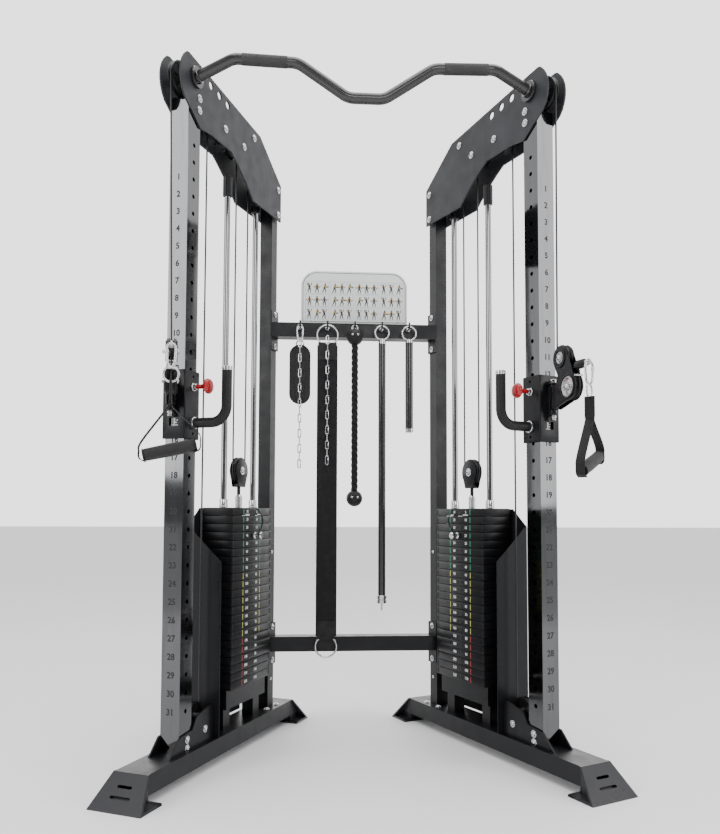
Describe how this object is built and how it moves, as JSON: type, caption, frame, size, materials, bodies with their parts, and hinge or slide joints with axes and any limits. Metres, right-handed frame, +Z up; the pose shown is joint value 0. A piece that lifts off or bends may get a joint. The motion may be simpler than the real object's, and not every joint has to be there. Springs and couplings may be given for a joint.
{
  "type": "functional trainer",
  "caption": "Free-standing cable machine: mirrored weight-stack towers with sliding swivel carriages, a pull-up bar, crossbars, a placard and hanging accessories.",
  "frame": {"origin": "on the floor at the centre of the footprint", "axes": "+Z up, -Y towards the user, +X to the right as the user sees it facing +Y"},
  "size_m": [1.4038, 0.9656, 2.041],
  "materials": {
    "black_powder": "satin black powder coat",
    "charcoal_powder": "fine-textured dark grey powder coat",
    "chrome": "bright chrome plate",
    "weight_iron": "black painted weight plates",
    "pulley_nylon": "moulded black nylon",
    "grip_rubber": "matt black rubber",
    "red_plastic": "moulded red knob",
    "cable_sheath": "black nylon-coated wire rope",
    "black_webbing": "woven black webbing",
    "placard_print": "printed white board"
  },
  "bodies": {
    "frame": {"base_right": "black_powder", "front_upright_right": "chrome", "rear_upright_right": "black_powder", "boom_inner_plate_right": "charcoal_powder", "boom_outer_plate_right": "charcoal_powder", "guide_rod_front_right": "chrome", "guide_rod_rear_right": "chrome", "shroud_right": "black_powder", "weight_stack_right": "weight_iron", "cable_right": "cable_sheath", "base_left": "black_powder", "front_upright_left": "chrome", "rear_upright_left": "black_powder", "boom_inner_plate_left": "charcoal_powder", "boom_outer_plate_left": "charcoal_powder", "guide_rod_front_left": "chrome", "guide_rod_rear_left": "chrome", "shroud_left": "black_powder", "weight_stack_left": "weight_iron", "cable_left": "cable_sheath", "crossbar_upper": "black_powder", "crossbar_lower": "black_powder", "pullup_bar": "charcoal_powder", "placard": "placard_print"},
    "weights_right": {"weight_head_right": "weight_iron"},
    "selector_pin_right": {"selector_pin_right": "chrome"},
    "floating_pulley_right": {"floating_pulley_right": "pulley_nylon"},
    "carriage_right": {"carriage_right": "black_powder", "j_handle_right": "grip_rubber"},
    "top_front_pulley_right": {"top_front_pulley_right": "pulley_nylon"},
    "top_rear_pulley_right": {"top_rear_pulley_right": "pulley_nylon"},
    "idler_rear_right": {"idler_rear_right": "pulley_nylon"},
    "idler_front_right": {"idler_front_right": "pulley_nylon"},
    "low_pulley_right": {"low_pulley_right": "pulley_nylon"},
    "pop_pin_right": {"pop_pin_right": "red_plastic"},
    "swivel_right": {"swivel_bracket_right": "black_powder"},
    "swivel_pulley_upper_right": {"swivel_pulley_upper_right": "pulley_nylon"},
    "swivel_pulley_lower_right": {"swivel_pulley_lower_right": "pulley_nylon"},
    "strap_handle_right": {"strap_handle_right": "black_webbing"},
    "weights_left": {"weight_head_left": "weight_iron"},
    "selector_pin_left": {"selector_pin_left": "chrome"},
    "floating_pulley_left": {"floating_pulley_left": "pulley_nylon"},
    "carriage_left": {"carriage_left": "black_powder", "j_handle_left": "grip_rubber"},
    "top_front_pulley_left": {"top_front_pulley_left": "pulley_nylon"},
    "top_rear_pulley_left": {"top_rear_pulley_left": "pulley_nylon"},
    "idler_rear_left": {"idler_rear_left": "pulley_nylon"},
    "idler_front_left": {"idler_front_left": "pulley_nylon"},
    "low_pulley_left": {"low_pulley_left": "pulley_nylon"},
    "pop_pin_left": {"pop_pin_left": "red_plastic"},
    "swivel_left": {"swivel_bracket_left": "black_powder"},
    "swivel_pulley_upper_left": {"swivel_pulley_upper_left": "pulley_nylon"},
    "swivel_pulley_lower_left": {"swivel_pulley_lower_left": "pulley_nylon"},
    "strap_handle_left": {"strap_handle_left": "black_webbing"},
    "ankle_cuff": {"ankle_cuff": "black_webbing"},
    "long_strap": {"long_strap": "black_webbing"},
    "tricep_rope": {"tricep_rope": "black_webbing"},
    "long_bar": {"long_bar": "grip_rubber"},
    "short_bar": {"short_bar": "grip_rubber"}
  },
  "joints": [
    {"name": "weights_right_slide", "type": "slide", "parent": "frame", "child": "weights_right", "axis": [0, 0, 1], "range_m": [0, 0.85]},
    {"name": "selector_pin_right_pull", "type": "slide", "parent": "weights_right", "child": "selector_pin_right", "axis": [-0.9114, -0.4115, 0], "range_m": [0, 0.09]},
    {"name": "floating_pulley_right_spin", "type": "hinge", "parent": "weights_right", "child": "floating_pulley_right", "pos_m": [0.38102, 0.10071, 0.869], "axis": [0.9114, 0.4115, 0], "continuous": true},
    {"name": "carriage_right_slide", "type": "slide", "parent": "frame", "child": "carriage_right", "axis": [0, 0, 1], "range_m": [-0.7, 0.65], "deforming": ["cable_right"]},
    {"name": "top_front_pulley_right_spin", "type": "hinge", "parent": "frame", "child": "top_front_pulley_right", "pos_m": [0.53266, -0.23514, 1.972], "axis": [0.9114, 0.4115, 0], "continuous": true},
    {"name": "top_rear_pulley_right_spin", "type": "hinge", "parent": "frame", "child": "top_rear_pulley_right", "pos_m": [0.37937, 0.10436, 1.925], "axis": [0.9114, 0.4115, 0], "continuous": true},
    {"name": "idler_rear_right_spin", "type": "hinge", "parent": "frame", "child": "idler_rear_right", "pos_m": [0.40941, 0.03782, 1.905], "axis": [0.9114, 0.4115, 0], "continuous": true},
    {"name": "idler_front_right_spin", "type": "hinge", "parent": "frame", "child": "idler_front_right", "pos_m": [0.45488, -0.06289, 1.915], "axis": [0.9114, 0.4115, 0], "continuous": true},
    {"name": "low_pulley_right_spin", "type": "hinge", "parent": "frame", "child": "low_pulley_right", "pos_m": [0.48616, -0.13215, 0.153], "axis": [0.9114, 0.4115, 0], "continuous": true},
    {"name": "pop_pin_right_pull", "type": "slide", "parent": "carriage_right", "child": "pop_pin_right", "axis": [-0.9114, -0.4115, 0], "range_m": [0, 0.012], "stiffness_N_per_m": 600, "springref_m": -0.008},
    {"name": "swivel_right_turn", "type": "hinge", "parent": "carriage_right", "child": "swivel_right", "pos_m": [0.54048, -0.25246, 1.087], "axis": [0, 0, 1], "range_deg": [-59.6, 80.4]},
    {"name": "swivel_pulley_upper_right_spin", "type": "hinge", "parent": "swivel_right", "child": "swivel_pulley_upper_right", "pos_m": [0.55417, -0.30779, 1.17], "axis": [0.9707, 0.2402, 0], "continuous": true},
    {"name": "swivel_pulley_lower_right_spin", "type": "hinge", "parent": "swivel_right", "child": "swivel_pulley_lower_right", "pos_m": [0.56306, -0.34371, 1.083], "axis": [0.9707, 0.2402, 0], "continuous": true},
    {"name": "strap_handle_right_swing", "type": "hinge", "parent": "swivel_right", "child": "strap_handle_right", "pos_m": [0.583, -0.42428, 1.138], "axis": [0.9707, 0.2402, 0], "range_deg": [-70, 10]},
    {"name": "weights_left_slide", "type": "slide", "parent": "frame", "child": "weights_left", "axis": [0, 0, 1], "range_m": [0, 0.85]},
    {"name": "selector_pin_left_pull", "type": "slide", "parent": "weights_left", "child": "selector_pin_left", "axis": [0.9114, -0.4115, 0], "range_m": [0, 0.09]},
    {"name": "floating_pulley_left_spin", "type": "hinge", "parent": "weights_left", "child": "floating_pulley_left", "pos_m": [-0.38102, 0.10071, 0.869], "axis": [0.9114, -0.4115, 0], "continuous": true},
    {"name": "carriage_left_slide", "type": "slide", "parent": "frame", "child": "carriage_left", "axis": [0, 0, 1], "range_m": [-0.7, 0.65], "deforming": ["cable_left"]},
    {"name": "top_front_pulley_left_spin", "type": "hinge", "parent": "frame", "child": "top_front_pulley_left", "pos_m": [-0.53266, -0.23514, 1.972], "axis": [0.9114, -0.4115, 0], "continuous": true},
    {"name": "top_rear_pulley_left_spin", "type": "hinge", "parent": "frame", "child": "top_rear_pulley_left", "pos_m": [-0.37937, 0.10436, 1.925], "axis": [0.9114, -0.4115, 0], "continuous": true},
    {"name": "idler_rear_left_spin", "type": "hinge", "parent": "frame", "child": "idler_rear_left", "pos_m": [-0.40941, 0.03782, 1.905], "axis": [0.9114, -0.4115, 0], "continuous": true},
    {"name": "idler_front_left_spin", "type": "hinge", "parent": "frame", "child": "idler_front_left", "pos_m": [-0.45488, -0.06289, 1.915], "axis": [0.9114, -0.4115, 0], "continuous": true},
    {"name": "low_pulley_left_spin", "type": "hinge", "parent": "frame", "child": "low_pulley_left", "pos_m": [-0.48616, -0.13215, 0.153], "axis": [0.9114, -0.4115, 0], "continuous": true},
    {"name": "pop_pin_left_pull", "type": "slide", "parent": "carriage_left", "child": "pop_pin_left", "axis": [0.9114, -0.4115, 0], "range_m": [0, 0.012], "stiffness_N_per_m": 600, "springref_m": -0.008},
    {"name": "swivel_left_turn", "type": "hinge", "parent": "carriage_left", "child": "swivel_left", "pos_m": [-0.54048, -0.25246, 1.087], "axis": [0, 0, 1], "range_deg": [-104, 36]},
    {"name": "swivel_pulley_upper_left_spin", "type": "hinge", "parent": "swivel_left", "child": "swivel_pulley_upper_left", "pos_m": [-0.53087, -0.30864, 1.17], "axis": [0.9857, 0.1685, 0], "continuous": true},
    {"name": "swivel_pulley_lower_left_spin", "type": "hinge", "parent": "swivel_left", "child": "swivel_pulley_lower_left", "pos_m": [-0.52464, -0.34512, 1.083], "axis": [0.9857, 0.1685, 0], "continuous": true},
    {"name": "strap_handle_left_swing", "type": "hinge", "parent": "swivel_left", "child": "strap_handle_left", "pos_m": [-0.51066, -0.42693, 1.164], "axis": [0.9857, 0.1685, 0], "range_deg": [-70, 10]},
    {"name": "ankle_cuff_swing", "type": "hinge", "parent": "frame", "child": "ankle_cuff", "pos_m": [-0.188, 0.2126, 1.376], "axis": [1, 0, 0], "range_deg": [-20, 0]},
    {"name": "long_strap_swing", "type": "hinge", "parent": "frame", "child": "long_strap", "pos_m": [-0.094, 0.2126, 1.376], "axis": [1, 0, 0], "range_deg": [-20, 0]},
    {"name": "tricep_rope_swing", "type": "hinge", "parent": "frame", "child": "tricep_rope", "pos_m": [0, 0.2126, 1.376], "axis": [1, 0, 0], "range_deg": [-20, 0]},
    {"name": "long_bar_swing", "type": "hinge", "parent": "frame", "child": "long_bar", "pos_m": [0.094, 0.2126, 1.376], "axis": [1, 0, 0], "range_deg": [-20, 0]},
    {"name": "short_bar_swing", "type": "hinge", "parent": "frame", "child": "short_bar", "pos_m": [0.188, 0.2126, 1.376], "axis": [1, 0, 0], "range_deg": [-20, 0]}
  ],
  "couplings": [
    {"joint": "floating_pulley_right_spin", "follows": "weights_right_slide", "rad_per_m": 25.641},
    {"joint": "top_front_pulley_right_spin", "follows": "weights_right_slide", "rad_per_m": 44.444},
    {"joint": "top_rear_pulley_right_spin", "follows": "weights_right_slide", "rad_per_m": 57.143},
    {"joint": "idler_rear_right_spin", "follows": "carriage_right_slide", "rad_per_m": 33.333},
    {"joint": "idler_front_right_spin", "follows": "carriage_right_slide", "rad_per_m": 25},
    {"joint": "low_pulley_right_spin", "follows": "carriage_right_slide", "rad_per_m": -27.778},
    {"joint": "swivel_pulley_upper_right_spin", "follows": "weights_right_slide", "rad_per_m": -62.5},
    {"joint": "floating_pulley_left_spin", "follows": "weights_left_slide", "rad_per_m": 25.641},
    {"joint": "top_front_pulley_left_spin", "follows": "weights_left_slide", "rad_per_m": 44.444},
    {"joint": "top_rear_pulley_left_spin", "follows": "weights_left_slide", "rad_per_m": 57.143},
    {"joint": "idler_rear_left_spin", "follows": "carriage_left_slide", "rad_per_m": 33.333},
    {"joint": "idler_front_left_spin", "follows": "carriage_left_slide", "rad_per_m": 25},
    {"joint": "low_pulley_left_spin", "follows": "carriage_left_slide", "rad_per_m": -27.778},
    {"joint": "swivel_pulley_upper_left_spin", "follows": "weights_left_slide", "rad_per_m": -62.5}
  ]
}
